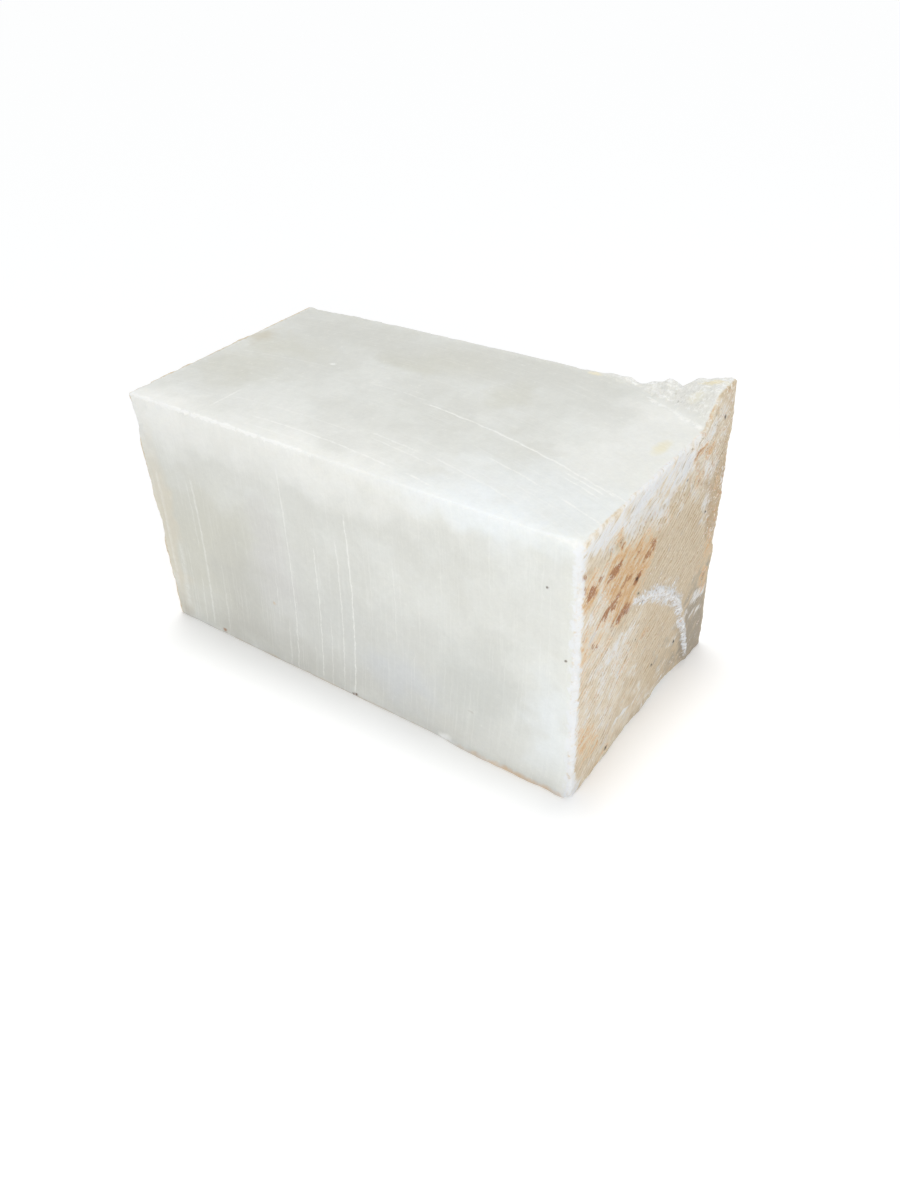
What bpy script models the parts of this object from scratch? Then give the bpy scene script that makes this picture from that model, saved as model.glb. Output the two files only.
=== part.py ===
"""A block of alabaster, sawn on its long faces and left rough on its two ends.

The block is one solid. It stands on its sawn underside with its length along X, its front
face towards -Y and Z up. Until the last step its corner at the left, front and bottom is
the origin, so that every place below is a distance along, into or up the block.
"""

import math
import random

import bpy
import numpy as np

MM = 0.001

# Driving dimensions of the sawn block
LENGTH = 0.2838
DEPTH = 0.1503
HEIGHT = 0.1520

# The back face leans out at the top of its right end, and both ends stand a little askew:
# at the back the right one is further out and the left one further in
BACK_LEAN = 0.0048
RIGHT_SKEW = 0.0013
LEFT_SKEW = -0.0008

# Wear of the arrises: a small radius everywhere, more at the top corner nearest the viewer
ARRIS_RADIUS = 0.0008
CORNER_RADIUS = 0.0050
CORNER_REACH = 0.0150
RAGGED_RADIUS = 0.0014
RAGGED_REACH = 0.0060

# Burr that the saw left along the right half of the front face's bottom edge
BURR = 0.0017
BURR_HEIGHT = 0.0024
BURR_START = 0.205

# Broken lip: the last of the top cut snapped off here and left a ridge along the back edge.
# CREASE is where the lip starts to rise, as x and y; RIDGE is its height above the top at x.
CREASE = ((0.203, 0.1535), (0.220, 0.1490), (0.238, 0.1430), (0.281, 0.1190), (0.288, 0.1155))
RIDGE = (
    (0.203, 0.0),
    (0.218, 0.0012),
    (0.227, 0.0016),
    (0.232, -0.0004),
    (0.242, 0.0022),
    (0.249, 0.0060),
    (0.256, 0.0038),
    (0.265, 0.0097),
    (0.281, 0.0140),
    (0.288, 0.0122),
)
LIP_ROOT = 0.045

# Relief of the rough ends
SWELL = 0.0009
SWELL_SIZE = 0.045
LUMP = 0.0007
LUMP_SIZE = 0.011
END_LEVEL = 0.0003

# Curved ledge across the right end, as part of a circle in y and z
ARC_CENTRE = (0.030, -0.005)
ARC_RADIUS = 0.098
ARC_STEP = 0.0012
ARC_RIDGE = 0.0011

# Border, as z and y, past which the outer skin of the right end has come off
SKIN_BORDER = (
    (0.040, 0.160),
    (0.068, 0.1475),
    (0.079, 0.1345),
    (0.099, 0.1300),
    (0.110, 0.1250),
    (0.118, 0.1175),
    (0.126, 0.1000),
    (0.130, 0.0600),
    (0.134, -0.0200),
)
SKIN_DEPTH = 0.0008

# Mesh: lines along each axis, how far they crowd to the edges, and the faces that are kept
LINES = (112, 78, 78)
CROWDING = 0.62
TRIANGLES = 9400

# Breaks where a flake left an edge: middle of the break, the way it faces, its length, its depth
FLAKES = (
    ((0.000, 0.000, 0.133), (-0.80, -0.60, 0.05), 0.030, 0.0018),
    ((0.000, 0.001, 0.070), (-0.70, -0.70, 0.00), 0.026, 0.0010),
    ((0.2838, 0.000, 0.000), (0.55, -0.60, -0.58), 0.012, 0.0014),
    ((0.2838, 0.000, 0.064), (0.72, -0.69, 0.00), 0.026, 0.0016),
    ((0.2838, 0.000, 0.036), (0.64, -0.77, 0.05), 0.022, 0.0016),
    ((0.2838, 0.000, 0.112), (0.85, -0.52, 0.00), 0.026, 0.0013),
    ((0.2842, 0.102, 0.000), (0.62, 0.00, -0.78), 0.050, 0.0033),
    ((0.2840, 0.064, 0.000), (0.70, 0.00, -0.71), 0.026, 0.0018),
    ((0.2851, 0.152, 0.050), (0.70, 0.71, 0.00), 0.016, 0.0013),
    ((0.2842, 0.104, 0.152), (0.72, 0.00, 0.69), 0.020, 0.0017),
    ((0.2840, 0.060, 0.152), (0.80, 0.00, 0.60), 0.026, 0.0010),
    ((0.041, 0.000, 0.000), (0.00, -0.66, -0.75), 0.018, 0.0008),
    ((0.047, 0.000, 0.152), (0.00, -0.71, 0.71), 0.016, 0.0012),
    ((0.018, 0.000, 0.152), (0.00, -0.60, 0.80), 0.020, 0.0010),
    ((0.240, 0.146, 0.154), (0.30, -0.25, 0.92), 0.012, 0.0016),
    ((0.000, 0.150, 0.152), (-0.60, 0.58, 0.55), 0.012, 0.0016),
    ((0.017, 0.150, 0.152), (-0.04, 0.70, 0.71), 0.036, 0.0014),
    ((0.000, 0.150, 0.000), (-0.58, 0.58, -0.57), 0.028, 0.0062),
    ((0.000, 0.060, 0.000), (-0.70, 0.00, -0.71), 0.040, 0.0030),
    ((0.000, 0.150, 0.080), (-0.70, 0.71, 0.00), 0.034, 0.0024),
    ((0.110, 0.150, 0.000), (0.00, 0.70, -0.71), 0.046, 0.0030),
    ((0.215, 0.150, 0.000), (0.00, 0.66, -0.75), 0.030, 0.0020),
)
FLAKE_ROUGHNESS = 0.0006
FLAKE_GRAIN = 0.0045

# Rows of small chips: both ends of an edge, the way its chips face, how many there are,
# and the length and depth of the largest
CHIPPED_EDGES = (
    ((0.2838, 0.0, 0.004), (0.2838, 0.0, 0.146), (0.72, -0.69, 0.0), 26, 0.013, 0.0016),
    ((0.2838, 0.006, 0.0), (0.2850, 0.146, 0.0), (0.68, 0.0, -0.73), 14, 0.013, 0.0011),
    ((0.2838, 0.004, 0.152), (0.2847, 0.118, 0.152), (0.75, 0.0, 0.66), 18, 0.012, 0.0011),
    ((0.2849, 0.151, 0.004), (0.2849, 0.155, 0.150), (0.68, 0.73, 0.0), 14, 0.011, 0.0008),
    ((0.000, 0.0, 0.004), (0.000, 0.0, 0.112), (-0.70, -0.71, 0.0), 12, 0.010, 0.0008),
    ((0.000, 0.004, 0.152), (-0.0012, 0.148, 0.152), (-0.72, 0.0, 0.69), 12, 0.011, 0.0007),
    ((0.000, 0.004, 0.0), (0.000, 0.148, 0.0), (-0.70, 0.0, -0.71), 12, 0.016, 0.0014),
    ((0.000, 0.1503, 0.004), (0.000, 0.1503, 0.148), (-0.70, 0.71, 0.0), 12, 0.016, 0.0013),
    ((0.004, 0.0, 0.152), (0.150, 0.0, 0.152), (0.0, -0.70, 0.71), 16, 0.009, 0.0007),
    ((0.010, 0.0, 0.0), (0.200, 0.0, 0.0), (0.0, -0.70, -0.71), 10, 0.008, 0.0006),
    ((0.010, 0.1503, 0.0), (0.275, 0.1503, 0.0), (0.0, 0.70, -0.71), 14, 0.018, 0.0013),
    ((0.010, 0.1503, 0.152), (0.200, 0.1550, 0.152), (0.0, 0.72, 0.69), 14, 0.009, 0.0006),
)

STONE_COLOUR = (0.68, 0.67, 0.62, 1.0)
STONE_ROUGHNESS = 0.55


def smooth_step(low, high, value):
    t = np.clip((value - low) / (high - low), 0.0, 1.0)
    return t * t * (3.0 - 2.0 * t)


def lattice_value(cell, seed):
    """A fixed value from -1 to 1 for each whole-number cell."""
    mixed = cell[:, 0] * 73856093 ^ cell[:, 1] * 19349663 ^ cell[:, 2] * 83492791 ^ seed * 9176263
    mixed = (mixed ^ (mixed >> 13)) * 1274126177 & 0x7FFFFFFF
    mixed = (mixed ^ (mixed >> 15)) * 668265263 & 0x7FFFFFFF
    return mixed / 0x3FFFFFFF - 1.0


def noise(points, size, seed):
    """Smooth noise from -1 to 1 with bumps about this size."""
    place = points / size + seed * 0.37
    cell = np.floor(place).astype(np.int64)
    inside = place - cell
    blend = inside * inside * (3.0 - 2.0 * inside)
    total = np.zeros(len(points))
    for corner in np.ndindex(2, 2, 2):
        step = np.array(corner)
        weight = np.where(step == 1, blend, 1.0 - blend).prod(axis=1)
        total += weight * lattice_value(cell + step, seed)
    return total


def layered_noise(points, size, seed, layers=3):
    total = np.zeros(len(points))
    for layer in range(layers):
        total += noise(points, size / 2**layer, seed + 17 * layer) / 2**layer
    return total


def crowded(lines):
    """Places from 0 to 1 that lie closer together near both ends."""
    t = np.linspace(0.0, 1.0, lines + 1)
    return t - CROWDING * np.sin(2.0 * math.pi * t) / (2.0 * math.pi)


def box_surface():
    """Points and quads of a closed box, its lines crowded towards the edges."""
    sizes = (LENGTH, DEPTH, HEIGHT)
    places = [crowded(lines) * size for lines, size in zip(LINES, sizes)]
    number = {}
    points = []
    quads = []

    def point_at(key):
        if key not in number:
            number[key] = len(points)
            points.append([places[axis][key[axis]] for axis in range(3)])
        return number[key]

    for axis in range(3):
        one, two = (axis + 1) % 3, (axis + 2) % 3
        for side in (0, LINES[axis]):
            for i in range(LINES[one]):
                for j in range(LINES[two]):
                    ring = []
                    for di, dj in ((0, 0), (1, 0), (1, 1), (0, 1)):
                        key = [0, 0, 0]
                        key[axis], key[one], key[two] = side, i + di, j + dj
                        ring.append(point_at(tuple(key)))
                    quads.append(ring if side else ring[::-1])
    return np.array(points), quads


def nearness(points, reach, **place):
    """1 on the edge or corner that place gives, falling to 0 past reach."""
    gap = sum((points[:, "xyz".index(name)] - value) ** 2 for name, value in place.items())
    return np.exp(-gap / reach**2)


def arris_radius(points):
    """How far each edge is worn, for the points nearest to it."""
    radius = ARRIS_RADIUS * (1.0 + 0.5 * noise(points, 9 * MM, 3))
    radius += CORNER_RADIUS * nearness(points, CORNER_REACH, x=LENGTH, y=0.0, z=HEIGHT)
    ragged = 0.45 + 0.55 * layered_noise(points, 7 * MM, 5)
    radius += RAGGED_RADIUS * ragged.clip(0.1) * nearness(points, RAGGED_REACH, x=LENGTH, y=0.0)
    end_edges = nearness(points, RAGGED_REACH, x=LENGTH, z=0.0) + nearness(points, RAGGED_REACH, x=0.0)
    radius += 0.5 * RAGGED_RADIUS * ragged.clip(0.0) * end_edges.clip(0.0, 1.0)
    return radius[:, None]


def round_arrises(points):
    """Moves the points near an edge on to a round of the edge's own radius."""
    radius = arris_radius(points)
    core = np.clip(points, radius, np.array([LENGTH, DEPTH, HEIGHT]) - radius)
    outward = points - core
    distance = np.linalg.norm(outward, axis=1, keepdims=True)
    return core + outward / np.maximum(distance, 1e-9) * radius


def arc_distance(y, z):
    """Distance outside the curved ledge that crosses the right end."""
    flat = np.stack([np.full_like(y, LENGTH), y, z], axis=1)
    wander = 1.5 * MM * noise(flat, 14 * MM, 13)
    return np.hypot(y - ARC_CENTRE[0], z - ARC_CENTRE[1]) - ARC_RADIUS + wander


def past_skin_border(y, z):
    """Distance behind the border where the skin of the right end has come off."""
    flat = np.stack([np.full_like(y, LENGTH), y, z], axis=1)
    border = np.interp(z, *zip(*SKIN_BORDER))
    return y - border + 1.8 * MM * layered_noise(flat, 12 * MM, 15)


def right_end_relief(y, z):
    """How far the rough right end stands out from its plane."""
    flat = np.stack([np.full_like(y, LENGTH), y, z], axis=1)
    bare = smooth_step(0.0, 4 * MM, past_skin_border(y, z))
    relief = SWELL * noise(flat, SWELL_SIZE, 11)
    relief += LUMP * layered_noise(flat, LUMP_SIZE, 12) * (0.4 + 0.6 * bare)
    outside = arc_distance(y, z)
    on_arc = smooth_step(0.095, 0.070, z) * 0.5 + 0.5
    relief -= ARC_STEP * smooth_step(1 * MM, -3 * MM, outside) * smooth_step(0.030, 0.055, y)
    relief += ARC_RIDGE * on_arc * np.exp(-((outside / (2.6 * MM)) ** 2)) * smooth_step(0.040, 0.060, y)
    return relief - SKIN_DEPTH * bare + END_LEVEL


def left_end_relief(y, z):
    """The same kind of rough face on the end that faces away."""
    flat = np.stack([np.zeros_like(y), y, z], axis=1)
    relief = 0.9 * SWELL * noise(flat, SWELL_SIZE, 21) + LUMP * layered_noise(flat, LUMP_SIZE, 22)
    slant = y + 0.5 * z + 3 * MM * noise(flat, 20 * MM, 23)
    ledge = smooth_step(0.112, 0.118, slant) * smooth_step(0.150, 0.130, z)
    return relief + END_LEVEL - 1.5 * MM * ledge


def burr(x, z):
    """How far the front face's bottom edge stands out."""
    flat = np.stack([x, np.zeros_like(x), np.zeros_like(x)], axis=1)
    uneven = 0.8 + 0.3 * layered_noise(flat, 9 * MM, 33)
    start = smooth_step(BURR_START - 0.008, BURR_START + 0.012, x)
    return BURR * uneven * start * np.exp(-((z / BURR_HEIGHT) ** 2))


def place_faces(points):
    """Leans, skews and roughens the faces, and leaves the sawn top and underside flat."""
    x, y, z = points.T
    along, across, up = x / LENGTH, y / DEPTH, z / HEIGHT
    placed = points.copy()
    placed[:, 0] += along * (RIGHT_SKEW * across + right_end_relief(y, z))
    placed[:, 0] += (1.0 - along) * (LEFT_SKEW * across - left_end_relief(y, z))
    placed[:, 1] += across * BACK_LEAN * up * (1.0 - (1.0 - along) ** 2)
    placed[:, 1] -= (1.0 - across) * burr(x, z)
    return placed


def lip_height(x, y):
    """Height of the broken lip above the top plane."""
    crease = np.interp(x, *zip(*CREASE), left=1.0)
    ridge = np.interp(x, *zip(*RIDGE), left=0.0)
    back = DEPTH + BACK_LEAN
    climb = np.clip((y - crease) / np.maximum(back - crease, 1 * MM), 0.0, 1.0)
    shoulder = np.interp(x, (0.240, 0.284), (1.0, 0.55))
    flat = np.stack([x, y, np.zeros_like(x)], axis=1)
    jagged = 0.9 * MM * layered_noise(flat, 6 * MM, 41) * smooth_step(0.25, 0.9, climb)
    rise = ridge * smooth_step(0.0, 1.0, climb / shoulder)
    return rise + jagged * smooth_step(0.203, 0.212, x)


def raise_lip(points):
    """Lifts the top at its back right corner, and draws the faces below up with it."""
    root = HEIGHT - LIP_ROOT
    share = np.clip((points[:, 2] - root) / LIP_ROOT, 0.0, 1.0) ** 2
    raised = points.copy()
    raised[:, 2] += share * lip_height(points[:, 0], points[:, 1])
    return raised


def break_flake(points, middle, facing, length, depth, seed):
    """Scoops a shell-shaped flake off an edge: what it holds moves in, on to the break."""
    facing = np.array(facing) / np.linalg.norm(facing)
    near = np.linalg.norm(points - np.array(middle), axis=1) < 0.75 * length
    held = points[near]
    radius = (length**2 / 4 + depth**2) / (2 * depth)
    centre = np.array(middle) + facing * (radius - depth)
    rough = FLAKE_ROUGHNESS * min(1.0, depth / (2 * MM))
    radius = radius + rough * layered_noise(held, FLAKE_GRAIN, seed)
    offset = held - centre
    along = offset @ facing
    aside = np.linalg.norm(offset - along[:, None] * facing, axis=1)
    surface = -np.sqrt(np.maximum(radius**2 - aside**2, 0.0))
    inside = (aside < radius) & (along < 0.0)
    push = np.where(inside, np.maximum(along - surface, 0.0), 0.0)
    points[near] = held - push[:, None] * facing


def chips(start, end, facing, count, length, depth, seed):
    """Small flakes of varied size, scattered along an edge."""
    chance = random.Random(seed)
    start, end = np.array(start), np.array(end)
    for _ in range(count):
        middle = start + (end - start) * chance.random()
        turn = np.array([chance.uniform(-0.25, 0.25) for _ in range(3)])
        size = chance.uniform(0.4, 1.0)
        yield middle, np.array(facing) + turn, size * length, size * depth * chance.uniform(0.7, 1.0)


def shape(points):
    points = raise_lip(place_faces(round_arrises(points)))
    for seed, flake in enumerate(FLAKES):
        break_flake(points, *flake, 60 + seed)
    for row, edge in enumerate(CHIPPED_EDGES):
        for seed, chip in enumerate(chips(*edge, row)):
            break_flake(points, *chip, 100 + 40 * row + seed)
    points[:, 2] = np.maximum(points[:, 2], 0.0)
    return points


def stone_material():
    material = bpy.data.materials.new("alabaster")
    material.use_nodes = True
    shader = material.node_tree.nodes["Principled BSDF"]
    shader.inputs["Base Color"].default_value = STONE_COLOUR
    shader.inputs["Roughness"].default_value = STONE_ROUGHNESS
    shader.inputs["Metallic"].default_value = 0.0
    return material


def build_block():
    points, quads = box_surface()
    points = shape(points)
    low, high = points.min(axis=0), points.max(axis=0)
    points -= [(low[0] + high[0]) / 2, (low[1] + high[1]) / 2, low[2]]
    mesh = bpy.data.meshes.new("alabaster_block")
    mesh.from_pydata(points.tolist(), [], quads)
    mesh.validate()
    mesh.shade_smooth()
    mesh.set_sharp_from_angle(angle=math.radians(30))
    mesh.materials.append(stone_material())
    block = bpy.data.objects.new("alabaster_block", mesh)
    bpy.context.scene.collection.objects.link(block)
    thin = block.modifiers.new("Keep the faces that the relief needs", "DECIMATE")
    thin.ratio = TRIANGLES / (2 * len(quads))
    return block


for old in list(bpy.data.objects):
    bpy.data.objects.remove(old)

build_block()
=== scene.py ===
import math
import random
from functools import partialmethod

import bmesh
import bpy
import numpy as np
from mathutils import Euler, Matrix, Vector


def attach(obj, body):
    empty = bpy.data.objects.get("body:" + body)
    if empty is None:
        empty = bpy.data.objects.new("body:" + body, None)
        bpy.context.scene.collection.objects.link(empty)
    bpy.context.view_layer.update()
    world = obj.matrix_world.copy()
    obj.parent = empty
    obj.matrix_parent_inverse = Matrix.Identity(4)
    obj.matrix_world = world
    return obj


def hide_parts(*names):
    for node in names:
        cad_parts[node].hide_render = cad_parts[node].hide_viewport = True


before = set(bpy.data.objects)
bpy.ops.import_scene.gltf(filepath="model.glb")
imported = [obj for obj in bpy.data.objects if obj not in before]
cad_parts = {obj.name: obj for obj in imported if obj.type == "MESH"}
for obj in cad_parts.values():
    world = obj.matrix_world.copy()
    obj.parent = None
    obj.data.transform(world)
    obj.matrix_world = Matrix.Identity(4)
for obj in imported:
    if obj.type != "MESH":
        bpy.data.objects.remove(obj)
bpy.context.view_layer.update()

MM = 0.001

# Sizes of the sawn block, as in the solid. Until the block is set down, its corner at the
# left, front and bottom is the origin, so every place is a distance along, into or up it.
LENGTH = 0.2838
DEPTH = 0.1503
HEIGHT = 0.152
BACK_LEAN = 0.0048
RIGHT_SKEW = 0.0013
LEFT_SKEW = -0.0008
ARRIS_RADIUS = 0.0008
CORNER_RADIUS = 0.005
CORNER_REACH = 0.015
RAGGED_RADIUS = 0.0014
RAGGED_REACH = 0.006
BURR = 0.0017
BURR_HEIGHT = 0.0024
BURR_START = 0.205

# Broken lip: where it starts to rise, as x and y, and the height of its ridge at x
CREASE = ((0.203, 0.1535), (0.22, 0.149), (0.238, 0.143), (0.281, 0.119), (0.288, 0.1155))
RIDGE = (
    (0.203, 0.0), (0.218, 0.0012), (0.227, 0.0016), (0.232, -0.0004), (0.242, 0.0022),
    (0.249, 0.006), (0.256, 0.0038), (0.265, 0.0097), (0.281, 0.014), (0.288, 0.0122),
)
LIP_ROOT = 0.045

# Relief of the rough ends
SWELL = 0.0009
SWELL_SIZE = 0.045
LUMP = 0.0007
LUMP_SIZE = 0.011
END_LEVEL = 0.0003
ARC_CENTRE = (0.03, -0.005)
ARC_RADIUS = 0.098
ARC_STEP = 0.0012
ARC_RIDGE = 0.0011
# Border, as z and y, past which the outer skin of the right end has come off
SKIN_BORDER = (
    (0.04, 0.16), (0.068, 0.1475), (0.079, 0.1345), (0.099, 0.13), (0.11, 0.125), (0.118, 0.1175),
    (0.126, 0.1), (0.13, 0.06), (0.134, -0.02),
)
SKIN_DEPTH = 0.0008

# Fine relief that the solid leaves out: saw grooves on the ends, and the grain of the stone
GROOVE_PITCH = 0.003
FINE_PITCH = 0.43 * GROOVE_PITCH
GROOVE_SLOPE = math.radians(31)
GROOVE_DEPTH = 0.00055
GRAIN = 0.00016
CRUMB = 0.0006
CRUMB_SIZE = 0.0024
SAWN_WAVER = 0.00012
# Where the grooves of the right end are deep: middle, two half sizes in mm, strength
GROOVED = (
    (58, 139, 20, 13, 1), (88, 125, 18, 11, 1), (104, 92, 36, 38, 0.62), (36, 62, 36, 24, 0.7),
    (40, 112, 34, 26, 0.55), (84, 44, 34, 24, 0.48), (20, 30, 22, 20, 0.5),
    (140, 130, 14, 16, 0.35),
)

# Mesh: lines along each axis, how far they crowd to the edges, and the faces that are kept
LINES = (150, 250, 250)
CROWDING = 0.45
TRIANGLES = 192000

# Breaks where a flake left an edge: middle of the break, the way it faces, its length, its depth
FLAKES = (
    ((0, 0, 0.133), (-0.8, -0.6, 0.05), 0.03, 0.0018),
    ((0, 0.001, 0.07), (-0.7, -0.7, 0), 0.026, 0.001),
    ((0.2838, 0, 0), (0.55, -0.6, -0.58), 0.012, 0.0014),
    ((0.2838, 0, 0.064), (0.72, -0.69, 0), 0.026, 0.0016),
    ((0.2838, 0, 0.036), (0.64, -0.77, 0.05), 0.022, 0.0016),
    ((0.2838, 0, 0.112), (0.85, -0.52, 0), 0.026, 0.0013),
    ((0.2842, 0.102, 0), (0.62, 0, -0.78), 0.05, 0.0033),
    ((0.284, 0.064, 0), (0.7, 0, -0.71), 0.026, 0.0018),
    ((0.2851, 0.152, 0.05), (0.7, 0.71, 0), 0.016, 0.0013),
    ((0.2842, 0.104, 0.152), (0.72, 0, 0.69), 0.02, 0.0017),
    ((0.284, 0.06, 0.152), (0.8, 0, 0.6), 0.026, 0.001),
    ((0.041, 0, 0), (0, -0.66, -0.75), 0.018, 0.0008),
    ((0.047, 0, 0.152), (0, -0.71, 0.71), 0.016, 0.0012),
    ((0.018, 0, 0.152), (0, -0.6, 0.8), 0.02, 0.001),
    ((0.24, 0.146, 0.154), (0.3, -0.25, 0.92), 0.012, 0.0016),
    ((0, 0.15, 0.152), (-0.6, 0.58, 0.55), 0.012, 0.0016),
    ((0.017, 0.15, 0.152), (-0.04, 0.7, 0.71), 0.036, 0.0014),
    ((0, 0.15, 0), (-0.58, 0.58, -0.57), 0.028, 0.0062),
    ((0, 0.06, 0), (-0.7, 0, -0.71), 0.04, 0.003),
    ((0, 0.15, 0.08), (-0.7, 0.71, 0), 0.034, 0.0024),
    ((0.11, 0.15, 0), (0, 0.7, -0.71), 0.046, 0.003),
    ((0.215, 0.15, 0), (0, 0.66, -0.75), 0.03, 0.002),
)
FLAKE_ROUGHNESS = 0.0006
FLAKE_GRAIN = 0.0045

# Rows of small chips: both ends of an edge, the way its chips face, how many there are,
# and the length and depth of the largest
CHIPPED_EDGES = (
    ((0.2838, 0, 0.004), (0.2838, 0, 0.146), (0.72, -0.69, 0), 26, 0.013, 0.0016),
    ((0.2838, 0.006, 0), (0.285, 0.146, 0), (0.68, 0, -0.73), 14, 0.013, 0.0011),
    ((0.2838, 0.004, 0.152), (0.2847, 0.118, 0.152), (0.75, 0, 0.66), 18, 0.012, 0.0011),
    ((0.2849, 0.151, 0.004), (0.2849, 0.155, 0.15), (0.68, 0.73, 0), 14, 0.011, 0.0008),
    ((0, 0, 0.004), (0, 0, 0.112), (-0.7, -0.71, 0), 12, 0.01, 0.0008),
    ((0, 0.004, 0.152), (-0.0012, 0.148, 0.152), (-0.72, 0, 0.69), 12, 0.011, 0.0007),
    ((0, 0.004, 0), (0, 0.148, 0), (-0.7, 0, -0.71), 12, 0.016, 0.0014),
    ((0, 0.1503, 0.004), (0, 0.1503, 0.148), (-0.7, 0.71, 0), 12, 0.016, 0.0013),
    ((0.004, 0, 0.152), (0.15, 0, 0.152), (0, -0.7, 0.71), 16, 0.009, 0.0007),
    ((0.01, 0, 0), (0.2, 0, 0), (0, -0.7, -0.71), 10, 0.008, 0.0006),
    ((0.01, 0.1503, 0), (0.275, 0.1503, 0), (0, 0.7, -0.71), 14, 0.018, 0.0013),
    ((0.01, 0.1503, 0.152), (0.2, 0.155, 0.152), (0, 0.72, 0.69), 14, 0.009, 0.0006),
)

# Camera, from the block's own corner
CAMERA_PLACE = (0.44317, -0.30362, 0.37996)
CAMERA_TURN = (53.281, 2.041, 35.472)
CAMERA_LENS = 29.84

# Light and floor, from the middle of the block's underside
WORLD_COLOUR = (0.985, 0.995, 1.0, 1.0)
WORLD_STRENGTH = 0.54
SOFTBOX_PLACE = (0.45, -0.52, 0.42)
SOFTBOX_TARGET = (0.04, -0.04, 0.08)
SOFTBOX = {"shape": "DISK", "size": 0.4, "energy": 1.3, "color": (1.0, 0.998, 0.99)}
SUN_TURN = (8.5, 0.0, 215.0)
SUN = {"energy": 1.22, "angle": math.radians(17.0)}
FLOOR_RADIUS = 6.0
FLOOR = {
    "Base Color": (0.97, 0.97, 0.97, 1.0),
    "Roughness": 0.9,
    "Specular IOR Level": 0.0,
    "Emission Color": (1.0, 1.0, 1.0, 1.0),
    "Emission Strength": 0.095,
}


def srgb(red, green, blue):
    """A colour as it looks on screen, from 0 to 255, made linear."""
    linear = []
    for level in (red, green, blue):
        level /= 255
        linear.append(level / 12.92 if level < 0.04045 else ((level + 0.055) / 1.055) ** 2.4)
    return (*linear, 1.0)


def ramp(low, high, value):
    t = np.clip((value - low) / (high - low), 0.0, 1.0)
    return t * t * (3.0 - 2.0 * t)


def lattice_value(cell, seed):
    """A fixed value from -1 to 1 for each whole-number cell."""
    mixed = cell[:, 0] * 73856093 ^ cell[:, 1] * 19349663 ^ cell[:, 2] * 83492791 ^ seed * 9176263
    mixed = (mixed ^ (mixed >> 13)) * 1274126177 & 0x7FFFFFFF
    mixed = (mixed ^ (mixed >> 15)) * 668265263 & 0x7FFFFFFF
    return mixed / 0x3FFFFFFF - 1.0


def noise(points, size, seed):
    """Smooth noise from -1 to 1 with bumps about this size."""
    place = points / size + seed * 0.37
    cell = np.floor(place).astype(np.int64)
    inside = place - cell
    blend = inside * inside * (3.0 - 2.0 * inside)
    total = np.zeros(len(points))
    for corner in np.ndindex(2, 2, 2):
        step = np.array(corner)
        weight = np.where(step == 1, blend, 1.0 - blend).prod(axis=1)
        total += weight * lattice_value(cell + step, seed)
    return total


def layered_noise(points, size, seed, layers=3):
    total = np.zeros(len(points))
    for layer in range(layers):
        total += noise(points, size / 2**layer, seed + 17 * layer) / 2**layer
    return total


def crowded(lines):
    """Places from 0 to 1 that lie closer together near both ends."""
    t = np.linspace(0.0, 1.0, lines + 1)
    return t - CROWDING * np.sin(2.0 * math.pi * t) / (2.0 * math.pi)


def box_surface():
    """Points and quads of a closed box, its lines crowded towards the edges."""
    sizes = (LENGTH, DEPTH, HEIGHT)
    places = [crowded(lines) * size for lines, size in zip(LINES, sizes)]
    counts = [lines + 1 for lines in LINES]
    number = -np.ones(counts, dtype=np.int64)
    shell = np.zeros(counts, dtype=bool)
    for axis in range(3):
        for side in (0, -1):
            np.moveaxis(shell, axis, 0)[side] = True
    number[shell] = np.arange(shell.sum())
    keys = np.argwhere(shell)
    points = np.stack([places[axis][keys[:, axis]] for axis in range(3)], axis=1)
    quads = []
    for axis in range(3):
        one, two = (axis + 1) % 3, (axis + 2) % 3
        for side in (0, -1):
            sheet = number.transpose(axis, one, two)[side]
            ring = [sheet[:-1, :-1], sheet[1:, :-1], sheet[1:, 1:], sheet[:-1, 1:]]
            quads.append(np.stack(ring if side else ring[::-1], axis=-1).reshape(-1, 4))
    return points, np.concatenate(quads)


def nearness(points, reach, **place):
    """1 on the edge or corner that place gives, falling to 0 past reach."""
    gap = sum((points[:, "xyz".index(name)] - value) ** 2 for name, value in place.items())
    return np.exp(-gap / reach**2)


def arris_radius(points):
    """How far each edge is worn, for the points nearest to it."""
    radius = ARRIS_RADIUS * (1.0 + 0.5 * noise(points, 9 * MM, 3))
    radius += CORNER_RADIUS * nearness(points, CORNER_REACH, x=LENGTH, y=0.0, z=HEIGHT)
    ragged = 0.45 + 0.55 * layered_noise(points, 7 * MM, 5)
    radius += RAGGED_RADIUS * ragged.clip(0.1) * nearness(points, RAGGED_REACH, x=LENGTH, y=0.0)
    end_edges = nearness(points, RAGGED_REACH, x=LENGTH, z=0.0) + nearness(points, RAGGED_REACH, x=0.0)
    radius += 0.5 * RAGGED_RADIUS * ragged.clip(0.0) * end_edges.clip(0.0, 1.0)
    return radius[:, None]


def round_arrises(points):
    """Moves the points near an edge on to a round of the edge's own radius."""
    radius = arris_radius(points)
    core = np.clip(points, radius, np.array([LENGTH, DEPTH, HEIGHT]) - radius)
    outward = points - core
    distance = np.linalg.norm(outward, axis=1, keepdims=True)
    return core + outward / np.maximum(distance, 1e-9) * radius


def end_points(y, z, x=0.0):
    """Points for the noise of a rough end, all at one x."""
    return np.stack([np.full_like(y, x), y, z], axis=1)


def arc_distance(y, z):
    """Distance outside the curved ledge that crosses the right end."""
    flat = end_points(y, z, LENGTH)
    wander = 1.5 * MM * noise(flat, 14 * MM, 13)
    return np.hypot(y - ARC_CENTRE[0], z - ARC_CENTRE[1]) - ARC_RADIUS + wander


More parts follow.
